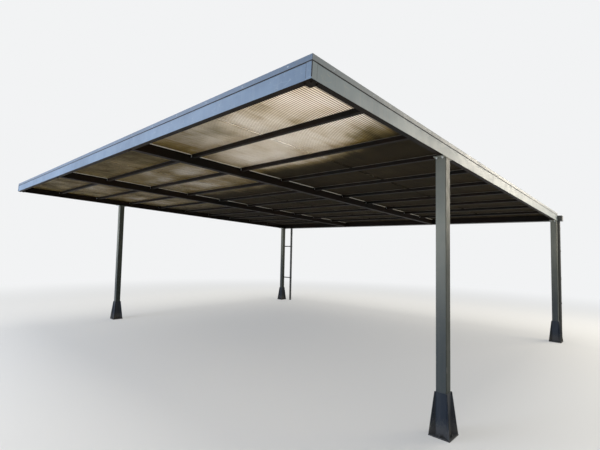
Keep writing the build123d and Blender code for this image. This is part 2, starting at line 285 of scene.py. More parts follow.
@dataclass(frozen=True)
class PaintedSteel:
    """Steel or aluminium with a baked coat: even and satin, with rain marks, dust and worn edges.

    The shares from 0 to 1 say how strongly a mark shows, and the counts per metre are one over the
    real width of what they draw. Where each mark starts and ends was set on the photograph.
    """

    name: str
    paint: str
    shade: str
    dust: str = "#8d877a"
    bare: str = "#9a9c9c"
    roughness: float = 0.42
    gloss: float = 0.5
    rain_marks: float = 0.35
    edge_wear: float = 0.5
    splash_height: float = 0.0
    splash: float = 0.0
    # Colour of the darkening towards the ground, and the height where it ends
    low_tone: str = "#000000"
    low_tone_height: float = 0.0
    scratch: tuple[float, float, float] | None = None
    # The colour of the painted shade on the side that faces +x, and its share
    shaded_side: str = "#2a3027"
    shaded_side_share: float = 0.0
    scuffs: float = 0.0
    patch_size: float = 0.55
    edge_radius: float = 3 * MM
    scratch_half_size: tuple[float, float, float] = (5 * MM, 2.5 * MM, 36 * MM)
    scratch_fray: float = 4 * MM
    rain_marks_per_metre: tuple[float, float, float] = (40.0, 40.0, 1.6)
    dust_clouds_per_metre: float = 16.0
    scuffs_per_metre: float = 13.0
    scuff_waver: float = 40 * MM
    mud_specks_per_metre: float = 70.0
    nicks_per_metre: float = 45.0
    peel_per_metre: float = 83.0

    def build(self) -> Material:
        """Builds the material.

        Returns:
            The finish, patterned by place in metres.
        """
        material, node = new_material(self.name)
        place = node("TexCoord").outputs["Object"]
        normal = node("NewGeometry").outputs["Normal"]
        dusty = self.soil(node, place, normal)
        rounded = node("Bevel", Radius=self.edge_radius, samples=4)
        worn = self.wear(node, place, node("VectorMath", rounded, normal, operation="DOT_PRODUCT"))
        surface = colour(self.paint)
        for share, code in (*self.tones(node, place, normal), (dusty, self.dust), (worn, self.bare)):
            surface = node("Mix", share, surface, colour(code), data_type="RGBA")

        # Roughness follows the dust, and a fine variation of its own
        fine = node("TexNoise", place, 9.0, 6.0, 0.65)
        sheen = node("MapRange", fine, 0.25, 0.75, self.roughness - 0.07, self.roughness + 0.1)
        matt = node("Math", dusty, 0.35, sheen, operation="MULTIPLY_ADD")

        # The coat's orange peel is 2 mm across; drawn at 12 mm so that it shows
        peel = node("TexNoise", place, self.peel_per_metre, 2.0)
        relief = node("Bump", Height=peel, Strength=0.06, Distance=2 * MM, Normal=rounded)
        shader = node("BsdfPrincipled", Base_Color=surface, Roughness=matt, Normal=relief)
        shader.inputs["Specular IOR Level"].default_value = self.gloss
        node("OutputMaterial", Surface=shader)
        return material

    def tones(self, node: NodeAdder, place: NodeSocket, normal: NodeSocket) -> list[tuple[Node, str]]:
        """Adds the coat's patches, darkening to the ground and painted shade on one side, before dust and
        wear.

        Args:
            node: What adds a node to the material.
            place: The place on the carport.
            normal: The way that the surface faces.

        Returns:
            Layers from the lowest up: the node of each one's share, and its colour.
        """
        # Broad patches where the coat has chalked and dulled unevenly
        patches = node("TexNoise", place, 1 / self.patch_size, 5.0, 0.6)
        layers = [(node("MapRange", patches, 0.32, 0.7), self.shade)]

        # Darker towards the ground
        if self.low_tone_height > 0:
            height = node("SeparateXYZ", place).outputs["Z"]
            limits = (self.low_tone_height * 0.3, self.low_tone_height, 1.0, 0.0)
            layers.append((node("MapRange", height, *limits, interpolation_type="SMOOTHSTEP"), self.low_tone))

        # Painted shade on the side that faces +x, as if it looked away from the light, deeper and lighter
        # in clouds
        if self.shaded_side_share > 0:
            sideways = node("SeparateXYZ", normal).outputs["X"]
            shaded = node("MapRange", sideways, 0.35, 0.9, 0.0, self.shaded_side_share)
            thin = node("MapRange", patches, 0.3, 0.7, 0.75, 1.0)
            layers.append((node("Math", shaded, thin, operation="MULTIPLY"), self.shaded_side))
        return layers

    def soil(self, node: NodeAdder, place: NodeSocket, normal: NodeSocket) -> Node:
        """Adds rain marks, dust, scuffs and splashed mud.

        Args:
            node: What adds a node to the material.
            place: The place on the carport.
            normal: The way that the surface faces.

        Returns:
            The node that gives how much of it lies on the coat, from 0 to 1.
        """
        lift = node("SeparateXYZ", normal).outputs["Z"]
        steep = node("Math", lift, operation="ABSOLUTE")
        upright = node("MapRange", steep, 0.2, 0.8, 1.0, 0.0)
        upward = node("MapRange", lift, 0.3, 0.95)

        # Thin upright rain marks on the steep sides, about 25 mm apart
        stretched = node("Mapping", Vector=place, Scale=self.rain_marks_per_metre)
        marks = node("TexNoise", stretched, 1.0, 3.0, 0.65)
        marked = node("MapRange", marks, 0.5, 0.78, 0.0, self.rain_marks)
        on_sides = node("Math", marked, upright, operation="MULTIPLY")

        # Dust that settles on what faces up, in clouds some 60 mm wide
        clouds = node("TexNoise", place, self.dust_clouds_per_metre, 6.0, 0.7)
        settled = node("MapRange", clouds, 0.35, 0.75, 0.12, 0.6)
        on_top = node("Math", settled, upward, operation="MULTIPLY")
        dusty = node("Math", on_sides, on_top, operation="MAXIMUM")

        # Scuffs from handling: hair-fine lines 1 mm wide, drawn at 3 mm so that they show, in loose patches
        if self.scuffs > 0:
            waver = node("TexNoise", place, 6.0, 2.0).outputs["Color"]
            led = node("VectorMath", waver, (self.scuff_waver,) * 3, place, operation="MULTIPLY_ADD")
            flat = node("Mapping", Vector=led, Scale=(1.0, 1.0, 2.4), Rotation=(0.5, 0.4, 0.0))
            cells = node("TexVoronoi", Vector=flat, Scale=self.scuffs_per_metre, feature="DISTANCE_TO_EDGE")
            line = node("MapRange", cells, 0.01, 0.05, 1.0, 0.0)
            where = node("TexNoise", place, 11.0, 4.0, 0.7)
            patch = node("MapRange", where, 0.52, 0.6, 0.0, self.scuffs)
            scuffed = node("Math", line, patch, operation="MULTIPLY")
            dusty = node("Math", dusty, scuffed, operation="MAXIMUM")

        # Mud splashed up from the ground, thinning with height
        if self.splash > 0:
            height = node("SeparateXYZ", place).outputs["Z"]
            low = node("MapRange", height, 0.0, self.splash_height, 1.0, 0.0)
            specks = node("TexNoise", place, self.mud_specks_per_metre, 4.0, 0.75)
            mud = node("MapRange", node("Math", specks, low, operation="ADD"), 0.95, 1.3, 0.0, self.splash)
            dusty = node("Math", dusty, mud, operation="MAXIMUM")
        return dusty

    def wear(self, node: NodeAdder, place: NodeSocket, turn: Node) -> Node:
        """Adds the paint rubbed through on the edges, and the scrape where there is one.

        Args:
            node: What adds a node to the material.
            place: The place on the carport.
            turn: How far the rounded normal agrees with the flat one: less than 1 along an edge.

        Returns:
            The node that gives how bare the metal is, from 0 to 1.
        """
        edge = node("MapRange", turn, 0.86, 0.98, 1.0, 0.0)
        nicks = node("TexNoise", place, self.nicks_per_metre, 5.0, 0.7)
        broken = node("MapRange", nicks, 0.52, 0.62, 0.0, self.edge_wear)
        worn = node("Math", edge, broken, operation="MULTIPLY")
        if self.scratch is None:
            return worn

        # One scrape through the coat, about 5 mm wide on the front face and 70 mm high, frayed at its edge
        frayed = node("TexNoise", place, 120.0, 3.0).outputs["Color"]
        shaken = node("VectorMath", frayed, (self.scratch_fray,) * 3, place, operation="MULTIPLY_ADD")
        from_middle = node("VectorMath", shaken, self.scratch, operation="SUBTRACT")
        reach = node("VectorMath", from_middle, self.scratch_half_size, operation="DIVIDE")
        far = node("VectorMath", reach, operation="LENGTH")
        scrape = node("MapRange", far, 0.8, 1.1, 1.0, 0.0)
        return node("Math", worn, scrape, operation="MAXIMUM")


@dataclass(frozen=True)
class ShadeAndDirtFilm:
    """How bright and clear a bay's sheets are, with painted light and shade laid in with the dirt: 1 is
    painted lit and free of dirt, and 0 is painted deep shade under thick dirt.

    The sheets are at_front at the front edge, clearest at clear_from, and fade from darkening_from to
    far_down at darkening_at, in metres down the slope; skew moves that with every metre across. From
    shade_from to shade_at they fade to far_down as well, straight across, as painted shade.
    """

    clearest: float
    at_front: float
    clear_from: float
    darkening_from: float
    darkening_at: float
    far_down: float
    skew: float = 0.0
    shade_from: float = 9.0
    shade_at: float = 9.5


@dataclass(frozen=True)
class TwinWallSheet:
    """Extruded twin-wall polycarbonate in bronze: milky, ribbed, and darkened down the slope by dirt and
    painted shade.
    """

    name: str
    rib_start: float
    front_y: float
    film: ShadeAndDirtFilm
    rib_pitch: float = 24 * MM
    rib_core: float = 4 * MM
    rib_reach: float = 8.5 * MM
    streaks_per_metre: tuple[float, float, float] = (30.0, 1.1, 1.0)
    outline_waver: float = 0.4
    groove: str = "#4b4238"
    # From here down to deep, the tint paints light and shade along with the dirt: palest where painted lit
    lit_and_clean: str = "#fffaf0"
    shade_and_stain_stops: tuple[tuple[float, str], ...] = ((0.22, "#524424"), (0.45, "#b2984f"), (0.72, "#ddd0b6"))
    deep: str = "#1a1408"
    moss: str = "#a3b48c"
    weathered: str = "#857961"
    roughness: float = 0.28
    gloss: float = 0.0
    cover: float = 1.0

    def build(self) -> Material:
        """Builds the material.

        Returns:
            The finish, with its ribs on the sheet's own pitch.
        """
        material, node = new_material(self.name)
        place = node("TexCoord").outputs["Object"]
        axes = node("SeparateXYZ", place).outputs
        facing = node("SeparateXYZ", node("NewGeometry").outputs["True Normal"]).outputs["Z"]
        clear = self.lit_clearness(node, place, axes)

        # Painted light and shade with the dirt: where lit and thinly filmed the sheet shows its own bronze,
        # where painted deep shade lies under thick dirt it is nearly black, and moss greens it
        tint = node("ValToRGB", clear)
        stops = tint.color_ramp.elements
        stops[0].color, stops[1].color = colour(self.deep), colour(self.lit_and_clean)
        for where, code in self.shade_and_stain_stops:
            stops.new(where).color = colour(code)
        greening = node("TexNoise", place, 0.9, 4.0, 0.6)
        greened = node("MapRange", greening, 0.45, 0.7, 0.0, 0.55)
        on_dark = node("MapRange", clear, 0.5, 0.75, 1.0, 0.0)
        mossy = node("Math", greened, on_dark, operation="MULTIPLY")

        # On the upper skin the film has dried pale and evened out, so the roof looks calmer from above
        above = node("MapRange", facing, 0.0, 0.3)
        dry = node("MapRange", clear, 0.25, 0.9, 0.75, 0.05)
        dried = node("Math", above, dry, operation="MULTIPLY")

        # The walls between the cells show as darker lines, one at each groove, and most on the underside,
        # or the two skins would blur each other
        shifted = node("Math", axes["X"], self.rib_start, operation="SUBTRACT")
        off_rib = node("Math", shifted, self.rib_pitch / 2, operation="PINGPONG")
        limits = (self.rib_core, self.rib_reach, 1.0, 0.0)
        wall = node("MapRange", off_rib, *limits, interpolation_type="SMOOTHSTEP")
        below = node("MapRange", facing, -0.3, 0.0, 1.0, 0.2)
        rib = node("Math", wall, below, operation="MULTIPLY")
        for share, stain, blend in (
            (mossy, self.moss, "MULTIPLY"),
            (dried, self.weathered, "MIX"),
            (rib, self.groove, "MULTIPLY"),
        ):
            tint = node("Mix", share, tint, colour(stain), data_type="RGBA", blend_type=blend)

        # The skins sag a little between the walls, and are matt where they are dirty
        ripple = node("TexNoise", place, 14.0, 2.0)
        shader = node(
            "BsdfPrincipled",
            Base_Color=tint,
            Roughness=node("MapRange", clear, 0.12, 0.6, 0.95, self.roughness),
            IOR=POLYCARBONATE_IOR,
            Transmission_Weight=node("MapRange", clear, 0.2, 0.75, 0.35, 0.95),
            Normal=node("Bump", Height=ripple, Strength=0.12, Distance=3 * MM),
        )
        shader.inputs["Specular IOR Level"].default_value = self.gloss
        shader.inputs["Alpha"].default_value = self.cover
        node("OutputMaterial", Surface=shader)
        return material

    def lit_clearness(self, node: NodeAdder, place: NodeSocket, axes: Mapping[str, NodeSocket]) -> Node:
        """Adds how bright and clear the sheet is, by place: painted light and shade, laid in with the dirt.

        Args:
            node: What adds a node to the material.
            place: The place on the carport.
            axes: The same place as X, Y and Z.

        Returns:
            The node: 0 under painted deep shade and thick dirt, 1 where painted lit and free of dirt.
        """
        # A bright band near the front, kept free of dirt by rain and painted as lit, with a wavering
        # outline
        film = self.film
        drift = node("TexNoise", place, 1.3, 4.0, 0.55)
        down = node("Math", axes["Y"], self.front_y + self.outline_waver / 2, operation="SUBTRACT")
        bent = node("Math", drift, self.outline_waver, down, operation="MULTIPLY_ADD")
        slanted = node("Math", axes["X"], film.skew, bent, operation="MULTIPLY_ADD")
        rise = node("MapRange", slanted, 0.0, film.clear_from, film.at_front, film.clearest)
        fade, shade = (
            node("MapRange", along, start, end, 1.0, film.far_down, interpolation_type="SMOOTHSTEP")
            for along, start, end in (
                (slanted, film.darkening_from, film.darkening_at),
                (bent, film.shade_from, film.shade_at),
            )
        )
        lower = node("Math", fade, shade, operation="MINIMUM")
        lit_and_washed = node("Math", rise, lower, operation="MULTIPLY")

        # The film thins and thickens in clouds, and runs down the slope in streaks about 30 mm apart
        clouds = node("TexNoise", place, 1.7, 5.0, 0.6)
        cloudy = node("MapRange", clouds, 0.3, 0.7, 0.62, 1.3)
        stretched = node("Mapping", Vector=place, Scale=self.streaks_per_metre)
        runs = node("TexNoise", stretched, 1.0, 4.0, 0.6)
        streak = node("MapRange", runs, 0.3, 0.72, 1.14, 0.82)
        varied = node("Math", cloudy, streak, operation="MULTIPLY")
        return node("Math", lit_and_washed, varied, operation="MULTIPLY")


@dataclass(frozen=True)
class CloudedFinish:
    """A plain surface whose colour, roughness and relief all follow one fine noise."""

    name: str
    tone: str
    cloud: str
    # From where to where in the noise the cloud's colour comes in, and how strongly at most
    cloudy: tuple[float, float, float]
    # Where the noise is lowest and highest
    roughness: tuple[float, float]
    # Real grain and pores are well under 1 mm; drawn at about 6 mm so that they show
    grain_size: float
    detail: float
    relief: float
    depth: float
    metallic: float = 0.0
    ior: float = 1.5

    def build(self) -> Material:
        """Builds the material.

        Returns:
            The finish.
        """
        material, node = new_material(self.name)
        place = node("TexCoord").outputs["Object"]
        clouds = node("TexNoise", place, 1 / self.grain_size, self.detail, 0.7)
        low, high, most = self.cloudy
        cloudy = node("MapRange", clouds, low, high, 0.0, most)
        shader = node(
            "BsdfPrincipled",
            Base_Color=node("Mix", cloudy, colour(self.tone), colour(self.cloud), data_type="RGBA"),
            Metallic=self.metallic,
            Roughness=node("MapRange", clouds, 0.3, 0.7, *self.roughness),
            IOR=self.ior,
            Normal=node("Bump", Height=clouds, Strength=self.relief, Distance=self.depth),
        )
        node("OutputMaterial", Surface=shader)
        return material


@dataclass(frozen=True)
class PlainMetal(CloudedFinish):
    """Zinc-plated or mill-finished metal: bright, with a cloudy bloom and fine grain."""

    cloudy: tuple[float, float, float] = (0.38, 0.68, 1.0)
    roughness: tuple[float, float] = (0.34, 0.56)
    grain_size: float = 6 * MM
    detail: float = 4.0
    relief: float = 0.1
    depth: float = 0.3 * MM
    metallic: float = 1.0


@dataclass(frozen=True)
class SoftRubber(CloudedFinish):
    """Moulded EPDM rubber or closed-cell foam: matt, and greying with dust."""

    cloudy: tuple[float, float, float] = (0.5, 0.8, 0.6)
    roughness: tuple[float, float] = (0.7, 0.88)
    grain_size: float = 6.25 * MM
    detail: float = 3.0
    relief: float = 0.25
    depth: float = 0.5 * MM
    ior: float = 1.52


class Finish(Enum):
    """The carport's finishes, apart from the sheets, each named for its material and how it was made."""

    # Coated in the coil before it is folded: smooth and satin grey, tinted blue as a painted reflection of
    # the sky
    FASCIA = PaintedSteel(
        "coil_coated_steel_blue_grey", "#748aa0", "#5d7288", dust="#9aa7b2", rain_marks=0.22,
        edge_wear=0.25, scuffs=0.55,
    )
    # The same coat with painted sunlight, for the right side: a lighter, neutral grey with paler dust
    CHALKED_FASCIA = PaintedSteel(
        "coil_coated_steel_painted_sunlit", "#8f9b9d", "#7b868a", dust="#a9a79e", rain_marks=0.3,
        edge_wear=0.25, scuffs=0.5,
    )
    # Powder-coated in a dark colour, darkened further to nearly black as painted shade under the roof, so
    # the beams stand as dark lines
    FRAME = PaintedSteel(
        "powder_coated_steel_brown_grey", "#12110d", "#22160c", dust="#2c2920", bare="#34332f",
        rain_marks=0.15, edge_wear=0.15, gloss=0.1, roughness=0.6,
    )
    # Powder-coated tube: an even grey that darkens to the ground, with painted shade on its side that faces
    # +x
    POST = PaintedSteel(
        "powder_coated_steel_anthracite", "#8b8c80", "#787a71", dust="#7d7a70", splash_height=0.5,
        splash=0.3, rain_marks=0.14, low_tone="#454b4c", low_tone_height=2.0, scratch=(3.8, -1.744, 0.6),
        shaded_side_share=0.88, gloss=0.16, scuffs=0.25,
    )
    # Brushed on over the welds: a deep navy grey under splashes of dried mud, with painted shade on the
    # side that faces +x
    FOOT = PaintedSteel(
        "painted_steel_navy_grey", "#28323e", "#1b232d", dust="#6d6a64", splash_height=0.3, splash=0.4,
        rain_marks=0.15, roughness=0.4, shaded_side="#15171a", shaded_side_share=0.8, gloss=0.25,
    )
    # Thin coated sheet, folded crisp: a slightly darker and smoother band above the fascia, with the same
    # painted sky-blue tint
    FLASHING = PaintedSteel(
        "coated_flashing_sheet", "#62758a", "#57697d", rain_marks=0.2, edge_wear=0.15, roughness=0.36
    )
    # The same sheet with painted sunlight, for the right side, as the fascia below it
    CHALKED_FLASHING = PaintedSteel(
        "coated_flashing_sheet_painted_sunlit", "#8b9192", "#7e8588", rain_marks=0.25, edge_wear=0.15,
        roughness=0.4,
    )
    # Dark coated sheet with stronger rain marks, since water runs over it
    GUTTER = PaintedSteel("coated_gutter_sheet", "#383a38", "#2a2c2a", rain_marks=0.3, roughness=0.4)
    # Extruded and colour-anodised: its film hides the metal's mirror, so it is drawn as a smooth coat
    BRONZE = PaintedSteel(
        "bronze_anodised_aluminium", "#5a5145", "#4a4238", rain_marks=0.2, edge_wear=0.2, roughness=0.3
    )
    # Black rubber, dead matt: the corner beads, and the strip that paints the shadow line under the
    # flashing's lip
    RUBBER = SoftRubber("epdm_rubber", "#101114", "#3a3935")
    # Grey foam tape under the sheets: matt and dusty, it hardly shows
    TAPE = SoftRubber("closed_cell_foam_grey", "#8a8270", "#6f6755")
    # White foam strip on the inner beams: the light dashes between beams and sheets
    STRIP = SoftRubber("closed_cell_foam_white", "#fbf6ea", "#e2d8c2")
    # Electroplated screws: small bright specks, cloudy where the zinc has bloomed
    ZINC = PlainMetal("zinc_plated_steel", "#e6e8e8", "#b9bdbf")
    # Rolled aluminium without a coat: softer and greyer than zinc
    MILL_ALUMINIUM = PlainMetal("mill_aluminium", "#b9c0c8", "#8c959f", roughness=(0.4, 0.62))


# Repeated pieces


@dataclass(frozen=True)
class Fastener:
    """A screw, bolt or rivet head with its washer, in millimetres.

    The shank stands on the head; a plain head has only a stub, which hides inside it.
    """

    head_diameter: float
    head_height: float
    washer_diameter: float
    washer_thickness: float
    sides: int = 6
    taper: float = 1.0
    shank_diameter: float = 0.2
    shank_length: float = 0.1


@dataclass
class GrownPiece:
    """A piece that a node tree grows on a guide of points or edges."""

    name: str
    material: Material
    slot: Slot
    places: Sequence[Place]

    def sizes(self) -> dict[str, float | int]:
        """The tree's named inputs, with their values."""
        raise NotImplementedError

    def lay(self, guide: Mesh) -> None:
        """Lays the points or edges into the guide."""
        raise NotImplementedError

    def shape(self, node: NodeAdder, given: Mapping[str, NodeSocket]) -> Node:
        """Adds the nodes that shape the piece, and gives the last one."""
        raise NotImplementedError

    def build(self) -> None:
        """Builds the tree, runs it on the guide, and keeps the result as a plain mesh."""
        tree = bpy.data.node_groups.new(f"{self.name}_tree", "GeometryNodeTree")
        node = partial(add_node, tree)
        tree.interface.new_socket("Guide", in_out="INPUT", socket_type="NodeSocketGeometry")
        values: dict[str, float | int] = {}
        for label, value in self.sizes().items():
            kind = "NodeSocketInt" if isinstance(value, int) else "NodeSocketFloat"
            values[tree.interface.new_socket(label, in_out="INPUT", socket_type=kind).identifier] = value
        tree.interface.new_socket("Piece", in_out="OUTPUT", socket_type="NodeSocketGeometry")
        real = node("GeometryNodeRealizeInstances", self.shape(node, node("NodeGroupInput").outputs))
        painted = node("GeometryNodeSetMaterial", Geometry=real, Material=self.material)
        node("NodeGroupOutput", Piece=painted)

        guide = bpy.data.meshes.new(f"{self.name}_guide")
        self.lay(guide)
        carrier = add_piece(guide.name, guide)
        modifier = carrier.modifiers.new("build", "NODES")
        modifier.node_group = tree
        for identifier, value in values.items():
            modifier[identifier] = value
        depsgraph = bpy.context.evaluated_depsgraph_get()
        depsgraph.update()
        mesh = bpy.data.meshes.new_from_object(carrier.evaluated_get(depsgraph), depsgraph=depsgraph)
        mesh.name = self.name
        carrier.modifiers.remove(modifier)
        bpy.data.objects.remove(carrier)
        if "facing" in mesh.attributes:
            mesh.attributes.remove(mesh.attributes["facing"])
        keep(add_piece(self.name, mesh))


@dataclass
class FastenerRow(GrownPiece):
    """One kind of fastener at many places, each a point and the direction that its head faces."""

    fastener: Fastener
    washer_sides: int = 12
    shank_sides: int = 8
    seed: int = 7

    def sizes(self) -> dict[str, float | int]:
        """The fastener's sizes in metres, as named inputs."""
        kind = self.fastener
        return {
            "Head Radius": kind.head_diameter / 2 * MM,
            "Head Top Radius": kind.head_diameter * kind.taper / 2 * MM,
            "Head Height": kind.head_height * MM,
            "Washer Radius": kind.washer_diameter / 2 * MM,
            "Washer Thickness": kind.washer_thickness * MM,
            "Shank Radius": kind.shank_diameter / 2 * MM,
            "Shank Length": kind.shank_length * MM,
            "Sides": kind.sides,
        }

    def lay(self, guide: Mesh) -> None:
        """Lays a point at each place, marked with its direction."""
        guide.from_pydata([tuple(place) for place, _ in self.places], [], [])
        facing = guide.attributes.new("facing", "FLOAT_VECTOR", "POINT")
        for item, (_, direction) in zip(facing.data, self.places, strict=True):
            item.vector = direction

    def shape(self, node: NodeAdder, given: Mapping[str, NodeSocket]) -> Node:
        """Puts washer, head and shank on every point, each turned at random about its own axis.

        Args:
            node: What adds a node to the tree.
            given: The tree's inputs.

        Returns:
            The node that places the fasteners.
        """
        washer, head, shank = (
            node(
                "GeometryNodeMeshCone", sides, Radius_Bottom=given[foot], Radius_Top=given[top],
                Depth=given[rise],
            )
            for sides, foot, top, rise in (
                (self.washer_sides, "Washer Radius", "Washer Radius", "Washer Thickness"),
                (given["Sides"], "Head Radius", "Head Top Radius", "Head Height"),
                (self.shank_sides, "Shank Radius", "Shank Radius", "Shank Length"),
            )
        )
        over_washer = node("CombineXYZ", Z=given["Washer Thickness"])
        joined = node("GeometryNodeJoinGeometry")
        joined.id_data.links.new(washer.outputs[0], joined.inputs[0])
        for part in (head, shank):
            raised = node("GeometryNodeTransform", Geometry=part, Translation=over_washer)
            joined.id_data.links.new(raised.outputs[0], joined.inputs[0])
        facing = node("GeometryNodeInputNamedAttribute", Name="facing", data_type="FLOAT_VECTOR")
        upright = node("FunctionNodeAlignRotationToVector", Vector=facing, axis="Z")
        turn = node("FunctionNodeRandomValue", 0.0, 2 * math.pi, Seed=self.seed, data_type="FLOAT")
        spin = node("FunctionNodeAxisAngleToRotation", Axis=tuple(UP), Angle=turn)
        seated = node("FunctionNodeRotateRotation", upright, spin, rotation_space="LOCAL")
        return node("GeometryNodeInstanceOnPoints", Points=given["Guide"], Instance=joined, Rotation=seated)


@dataclass
class WeldSeam(GrownPiece):
    """Runs of fillet weld between pairs of points, which swell and narrow with every pass of the torch."""

    bead: float = 6 * MM
    ripple_pitch: float = 7 * MM
    thinnest: float = 0.32
    thickest: float = 0.58
    seed: int = 11

    def sizes(self) -> dict[str, float | int]:
        """The bead's sizes as named inputs."""
        return {"Bead": self.bead, "Ripple Pitch": self.ripple_pitch}

    def lay(self, guide: Mesh) -> None:
        """Lays an edge for each run."""
        ends = [tuple(end) for run in self.places for end in run]
        guide.from_pydata(ends, [(first, first + 1) for first in range(0, len(ends), 2)], [])

    def shape(self, node: NodeAdder, given: Mapping[str, NodeSocket]) -> Node:
        """Lays a rippled bead along every edge.

        Args:
            node: What adds a node to the tree.
            given: The tree's inputs.

        Returns:
            The node that makes the beads.
        """
        lines = node("GeometryNodeMeshToCurve", given["Guide"])
        steps = node("GeometryNodeResampleCurve", Curve=lines, Length=given["Ripple Pitch"], mode="LENGTH")
        limits = (self.thinnest, self.thickest)
        swell = node("FunctionNodeRandomValue", *limits, Seed=self.seed, data_type="FLOAT")
        radius = node("Math", given["Bead"], swell, operation="MULTIPLY")
        profile = node("GeometryNodeCurvePrimitiveCircle", Resolution=6, Radius=1.0)
        tube = partial(node, "GeometryNodeCurveToMesh", Curve=steps, Profile_Curve=profile)
        return tube(Scale=radius, Fill_Caps=True)


# Sub-assemblies


@dataclass
class SubAssembly:
    """What every sub-assembly starts from: the roof's plane, the CAD nodes and the built finishes."""

    roof: Roof
    nodes: Mapping[str, Object]
    finishes: Mapping[Finish, Material]

    def dress(self, finish: Finish, *names: str) -> None:
        """Gives CAD nodes a finish.

        Args:
            finish: The finish.
            *names: The nodes.
        """
        for name in names:
            self.nodes[name].data.materials.clear()
            self.nodes[name].data.materials.append(self.finishes[finish])

    def dress_outer_side(self, finish: Finish, name: str, outwards: Vector) -> None:
        """Gives the outermost flat side of a dressed CAD node a second finish.

        Args:
            finish: The finish of that side.
            name: The node.
            outwards: The direction that the side faces.
        """
        mesh = self.nodes[name].data
        mesh.materials.append(self.finishes[finish])
        limit = max(vertex.co.dot(outwards) for vertex in mesh.vertices) - CLOSE_ENOUGH
        for face in mesh.polygons:
            if face.normal.dot(outwards) > SQUARE_ENOUGH and face.center.dot(outwards) > limit:
                face.material_index = 1

    def fasten(
        self, name: str, kind: Fastener, finish: Finish, slot: Slot, places: Sequence[Place]
    ) -> None:
        """Makes a piece of all fasteners of one kind.

        Args:
            name: The piece's name.
            kind: The fastener.
            finish: Its finish.
            slot: The record's slot; not used.
            places: The point under each washer, and the direction that the head faces.
        """
        FastenerRow(name, self.finishes[finish], slot, places, kind).build()


@dataclass
class RoofFrame(SubAssembly):
    """The edge channels, the inner beams and the purlins with their cleats."""

    purlin_spacing: float = 0.72
    purlin_rows: int = 9
    beam_width: float = 80 * MM
    channel_wall: float = 4 * MM
    cleat_face: float = 24 * MM
    cleat_middle: float = 28 * MM
    cleat_screw_heights: tuple[float, float] = (77 * MM, 91 * MM)
    beam_bolt_from_end: float = 27 * MM
    beam_bolt_from_middle: float = 22 * MM
    corner_bolts: tuple[tuple[float, float], ...] = (
        (30 * MM, 30 * MM), (80 * MM, 28 * MM), (28 * MM, 80 * MM)
    )
    screw: Fastener = Fastener(10.0, 4.2, 13.5, 1.2, taper=0.92)
    bolt: Fastener = Fastener(17.0, 7.0, 22.0, 2.0, taper=0.96)

    def build(self) -> None:
        """Paints the steel, and the fascia with painted sunlight on its right side."""
        roof = self.roof
        edges = {
            "front_edge_beam": -roof.downhill,
            "rear_edge_beam": roof.downhill,
            "left_edge_beam": -roof.across,
            "right_edge_beam": roof.across,
        }
        self.dress(Finish.FRAME, *edges, "corner_plates", "middle_bay_purlins")
        for side, part in product(("left", "right"), ("inner_beam", "beam_cleats", "bay_purlins")):
            self.dress(Finish.FRAME, f"{side}_{part}")
        self.dress(Finish.FASCIA, "corner_covers")
        # The outer faces on the right side take painted sunlight
        self.dress_outer_side(Finish.CHALKED_FASCIA, "corner_covers", roof.across)
        for name, outwards in edges.items():
            finish = Finish.CHALKED_FASCIA if name == "right_edge_beam" else Finish.FASCIA
            self.dress_outer_side(finish, name, outwards)
        self.cleat_screws()
        self.frame_bolts()

    def cleat_screws(self) -> None:
        """Puts two screws, one above the other, in the front of every purlin cleat."""
        edge = self.roof.half_width - self.channel_wall - self.cleat_middle
        beside = self.beam_width / 2 + self.cleat_middle
        middles = [-edge, *(beam + hand * beside for beam, hand in product(self.roof.beams, HANDS)), edge]
        rows = range(1, self.purlin_rows + 1)
        downs = [number * self.purlin_spacing - self.cleat_face for number in rows]
        places = [
            (self.roof.at(x, down, up), -self.roof.downhill)
            for down, x, up in product(downs, middles, self.cleat_screw_heights)
        ]
        self.fasten("cleat_screws", self.screw, Finish.ZINC, Slot.FRAME, places)

    def frame_bolts(self) -> None:
        """Bolts the inner beams and the corner plates through the lower flanges."""
        roof, inwards = self.roof, self.beam_bolt_from_end
        points = [
            (beam + hand * self.beam_bolt_from_middle, down)
            for beam, down, hand in product(roof.beams, (inwards, roof.length - inwards), HANDS)
        ]
        points += [
            (hand * (roof.half_width - x), abs(end - reach))
            for hand, end, (x, reach) in product(HANDS, (0.0, roof.length), self.corner_bolts)
        ]
        places = [(roof.at(x, down, 0.0), -roof.upright) for x, down in points]
        self.fasten("frame_bolts", self.bolt, Finish.FRAME, Slot.FRAME, places)


